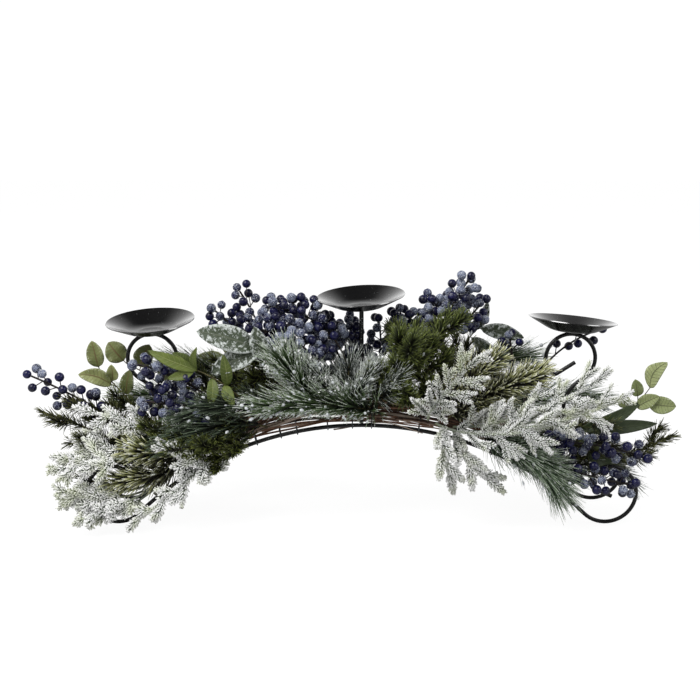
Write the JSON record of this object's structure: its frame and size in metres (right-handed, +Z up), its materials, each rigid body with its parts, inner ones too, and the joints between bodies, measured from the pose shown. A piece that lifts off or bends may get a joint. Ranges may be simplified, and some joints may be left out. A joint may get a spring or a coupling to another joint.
{
  "type": "candle centrepiece",
  "caption": "Arched black wire candle centrepiece with scroll feet and shallow dishes, dressed with vine, navy berries, leaves and frosted evergreen picks.",
  "frame": {"origin": "on the table surface, under the middle candle dish's post, midway between the rods", "axes": "+X along the length to the viewer's right, -Y towards the dressed front, +Z up"},
  "size_m": [0.7364, 0.2277, 0.2805],
  "materials": {
    "black_enamel": "satin",
    "vine_bark": "matt bark",
    "binding_wire": "satin",
    "berry_stem": "matt",
    "berry_skin": "gloss, part frosted",
    "leaf_green": "soft satin",
    "leaf_dark": "soft satin",
    "leaf_frosted": "frosted",
    "fir_green": "matt",
    "pine_green": "matt, frosted tips",
    "pine_tip": "matt",
    "cedar_flock": "flocked"
  },
  "bodies": {
    "root": {"front_arch_rod": "black_enamel", "back_arch_rod": "black_enamel", "centre_crossbar": "black_enamel", "left_crossbar": "black_enamel", "right_crossbar": "black_enamel", "centre_post": "black_enamel", "left_scroll_stand": "black_enamel", "right_scroll_stand": "black_enamel", "left_candle_dish": "black_enamel", "centre_candle_dish": "black_enamel", "right_candle_dish": "black_enamel", "vine_strand_1": "vine_bark", "vine_strand_2": "vine_bark", "vine_strand_3": "vine_bark", "vine_strand_4": "vine_bark", "vine_strand_5": "vine_bark", "vine_strand_6": "vine_bark", "vine_strand_7": "vine_bark", "vine_strand_8": "vine_bark", "binding_wires": "binding_wire", "far_left_berry_stems": "berry_stem", "left_berry_stems": "berry_stem", "centre_berry_stems": "berry_stem", "right_centre_berry_stems": "berry_stem", "right_stand_berry_stems": "berry_stem", "lower_right_berry_stems": "berry_stem", "far_left_berries": "berry_skin", "left_berries": "berry_skin", "centre_berries": "berry_skin", "right_centre_berries": "berry_skin", "right_stand_berries": "berry_skin", "lower_right_berries": "berry_skin", "left_leaf_pick": "leaf_green", "ruscus_leaf_pick": "leaf_green", "right_leaf_pick": "leaf_green", "back_leaf_pick": "leaf_green", "dark_leaf_pick": "leaf_dark", "frosted_leaf_pick": "leaf_frosted", "right_grey_leaf_pick": "leaf_frosted", "far_left_fir": "fir_green", "left_fir": "fir_green", "upright_fir": "fir_green", "right_fir": "fir_green", "left_pine": "pine_green", "centre_pine": "pine_green", "post_pine": "pine_green", "lower_right_pine": "pine_green", "foot_pine": "pine_green", "back_left_pine": "pine_green", "back_right_pine": "pine_green", "left_pine_tips": "pine_tip", "right_pine_tips": "pine_tip", "left_cedar": "cedar_flock", "foot_cedar": "cedar_flock", "hanging_left_cedar": "cedar_flock", "right_cedar": "cedar_flock", "hanging_cedar": "cedar_flock", "back_left_cedar": "cedar_flock", "back_right_cedar": "cedar_flock"}
  },
  "joints": []
}
